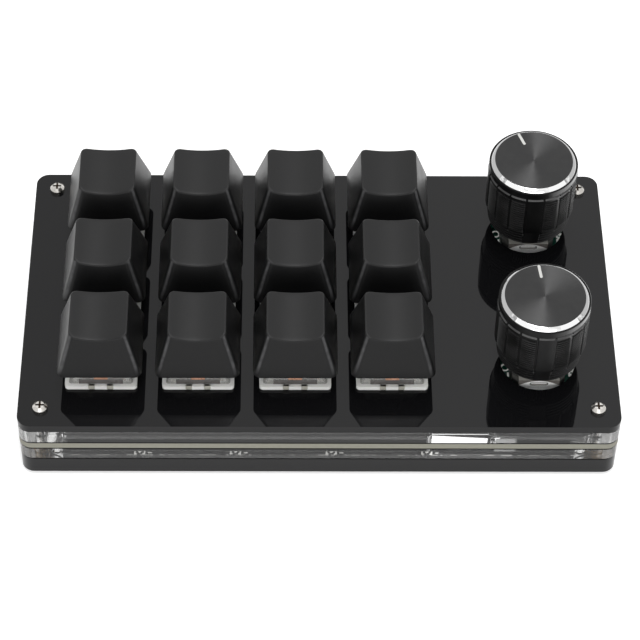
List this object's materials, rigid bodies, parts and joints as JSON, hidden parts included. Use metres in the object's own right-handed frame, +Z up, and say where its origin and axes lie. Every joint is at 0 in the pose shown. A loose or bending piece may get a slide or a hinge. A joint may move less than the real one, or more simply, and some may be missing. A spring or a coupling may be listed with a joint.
{
  "type": "macro keypad",
  "caption": "Desktop macro keypad: layered black and clear case, sprung switches under sculpted keycaps, and metal knobs that turn and press.",
  "frame": {"origin": "under the middle of the case's outline, on the surface that the rubber feet stand on", "axes": "+X to the right, where the knobs are; +Y to the back edge, where the cable socket is; +Z up"},
  "size_m": [0.1304, 0.0736, 0.0391],
  "materials": {
    "black_sheet": "polished",
    "clear_sheet": "polished clear",
    "board_green": "solder mask",
    "foot_rubber": "matt",
    "nickel_steel": "nickel plated",
    "brass": "turned",
    "milky_plastic": "milky clear",
    "contact_copper": "rolled copper alloy",
    "spring_steel": "drawn wire",
    "stem_plastic": "smooth",
    "cap_plastic": "fine matt",
    "chip_epoxy": "moulded",
    "socket_steel": "plated",
    "insulator_plastic": "moulded",
    "encoder_plastic": "moulded",
    "bracket_steel": "tin plated",
    "bushing_zinc": "die cast",
    "terminal_tin": "tinned",
    "shaft_aluminium": "turned",
    "knob_aluminium": "black anodised, turned and knurled"
  },
  "bodies": {
    "case": {"base_plate": "black_sheet", "rubber_feet": "foot_rubber", "lower_frame": "clear_sheet", "circuit_board": "board_green", "upper_frame": "clear_sheet", "top_plate": "black_sheet", "corner_screws": "nickel_steel", "corner_inserts": "brass", "switch_lower_housings": "milky_plastic", "switch_upper_housings": "milky_plastic", "switch_contacts": "contact_copper", "board_chips": "chip_epoxy", "socket_shell": "socket_steel", "socket_tongue": "insulator_plastic", "encoder_bases": "encoder_plastic", "encoder_brackets": "bracket_steel", "encoder_bushings": "bushing_zinc", "encoder_terminals": "terminal_tin", "spring_row1_column1": "spring_steel", "spring_row1_column2": "spring_steel", "spring_row1_column3": "spring_steel", "spring_row1_column4": "spring_steel", "spring_row2_column1": "spring_steel", "spring_row2_column2": "spring_steel", "spring_row2_column3": "spring_steel", "spring_row2_column4": "spring_steel", "spring_row3_column1": "spring_steel", "spring_row3_column2": "spring_steel", "spring_row3_column3": "spring_steel", "spring_row3_column4": "spring_steel"},
    "key_row1_column1": {"stem_row1_column1": "stem_plastic", "keycap_row1_column1": "cap_plastic"},
    "key_row1_column2": {"stem_row1_column2": "stem_plastic", "keycap_row1_column2": "cap_plastic"},
    "key_row1_column3": {"stem_row1_column3": "stem_plastic", "keycap_row1_column3": "cap_plastic"},
    "key_row1_column4": {"stem_row1_column4": "stem_plastic", "keycap_row1_column4": "cap_plastic"},
    "key_row2_column1": {"stem_row2_column1": "stem_plastic", "keycap_row2_column1": "cap_plastic"},
    "key_row2_column2": {"stem_row2_column2": "stem_plastic", "keycap_row2_column2": "cap_plastic"},
    "key_row2_column3": {"stem_row2_column3": "stem_plastic", "keycap_row2_column3": "cap_plastic"},
    "key_row2_column4": {"stem_row2_column4": "stem_plastic", "keycap_row2_column4": "cap_plastic"},
    "key_row3_column1": {"stem_row3_column1": "stem_plastic", "keycap_row3_column1": "cap_plastic"},
    "key_row3_column2": {"stem_row3_column2": "stem_plastic", "keycap_row3_column2": "cap_plastic"},
    "key_row3_column3": {"stem_row3_column3": "stem_plastic", "keycap_row3_column3": "cap_plastic"},
    "key_row3_column4": {"stem_row3_column4": "stem_plastic", "keycap_row3_column4": "cap_plastic"},
    "front_rotor": {"front_encoder_rotor": "encoder_plastic"},
    "front_dial": {"front_encoder_shaft": "shaft_aluminium", "front_knob": "knob_aluminium"},
    "rear_rotor": {"rear_encoder_rotor": "encoder_plastic"},
    "rear_dial": {"rear_encoder_shaft": "shaft_aluminium", "rear_knob": "knob_aluminium"}
  },
  "joints": [
    {"name": "key_row1_column1_press", "type": "slide", "parent": "case", "child": "key_row1_column1", "axis": [0, 0, 1], "range_m": [-0.004, 0], "stiffness_N_per_m": 60, "springref_m": 0.006, "deforming": ["spring_row1_column1"]},
    {"name": "key_row1_column2_press", "type": "slide", "parent": "case", "child": "key_row1_column2", "axis": [0, 0, 1], "range_m": [-0.004, 0], "stiffness_N_per_m": 60, "springref_m": 0.006, "deforming": ["spring_row1_column2"]},
    {"name": "key_row1_column3_press", "type": "slide", "parent": "case", "child": "key_row1_column3", "axis": [0, 0, 1], "range_m": [-0.004, 0], "stiffness_N_per_m": 60, "springref_m": 0.006, "deforming": ["spring_row1_column3"]},
    {"name": "key_row1_column4_press", "type": "slide", "parent": "case", "child": "key_row1_column4", "axis": [0, 0, 1], "range_m": [-0.004, 0], "stiffness_N_per_m": 60, "springref_m": 0.006, "deforming": ["spring_row1_column4"]},
    {"name": "key_row2_column1_press", "type": "slide", "parent": "case", "child": "key_row2_column1", "axis": [0, 0, 1], "range_m": [-0.004, 0], "stiffness_N_per_m": 60, "springref_m": 0.006, "deforming": ["spring_row2_column1"]},
    {"name": "key_row2_column2_press", "type": "slide", "parent": "case", "child": "key_row2_column2", "axis": [0, 0, 1], "range_m": [-0.004, 0], "stiffness_N_per_m": 60, "springref_m": 0.006, "deforming": ["spring_row2_column2"]},
    {"name": "key_row2_column3_press", "type": "slide", "parent": "case", "child": "key_row2_column3", "axis": [0, 0, 1], "range_m": [-0.004, 0], "stiffness_N_per_m": 60, "springref_m": 0.006, "deforming": ["spring_row2_column3"]},
    {"name": "key_row2_column4_press", "type": "slide", "parent": "case", "child": "key_row2_column4", "axis": [0, 0, 1], "range_m": [-0.004, 0], "stiffness_N_per_m": 60, "springref_m": 0.006, "deforming": ["spring_row2_column4"]},
    {"name": "key_row3_column1_press", "type": "slide", "parent": "case", "child": "key_row3_column1", "axis": [0, 0, 1], "range_m": [-0.004, 0], "stiffness_N_per_m": 60, "springref_m": 0.006, "deforming": ["spring_row3_column1"]},
    {"name": "key_row3_column2_press", "type": "slide", "parent": "case", "child": "key_row3_column2", "axis": [0, 0, 1], "range_m": [-0.004, 0], "stiffness_N_per_m": 60, "springref_m": 0.006, "deforming": ["spring_row3_column2"]},
    {"name": "key_row3_column3_press", "type": "slide", "parent": "case", "child": "key_row3_column3", "axis": [0, 0, 1], "range_m": [-0.004, 0], "stiffness_N_per_m": 60, "springref_m": 0.006, "deforming": ["spring_row3_column3"]},
    {"name": "key_row3_column4_press", "type": "slide", "parent": "case", "child": "key_row3_column4", "axis": [0, 0, 1], "range_m": [-0.004, 0], "stiffness_N_per_m": 60, "springref_m": 0.006, "deforming": ["spring_row3_column4"]},
    {"name": "front_knob_turn", "type": "hinge", "parent": "case", "child": "front_rotor", "pos_m": [0.0479, -0.01835, 0.03], "axis": [0, 0, 1], "continuous": true},
    {"name": "front_knob_press", "type": "slide", "parent": "front_rotor", "child": "front_dial", "axis": [0, 0, 1], "range_m": [-0.0005, 0], "stiffness_N_per_m": 1200, "springref_m": 0.002},
    {"name": "rear_knob_turn", "type": "hinge", "parent": "case", "child": "rear_rotor", "pos_m": [0.0479, 0.02125, 0.03], "axis": [0, 0, 1], "continuous": true},
    {"name": "rear_knob_press", "type": "slide", "parent": "rear_rotor", "child": "rear_dial", "axis": [0, 0, 1], "range_m": [-0.0005, 0], "stiffness_N_per_m": 1200, "springref_m": 0.002}
  ]
}
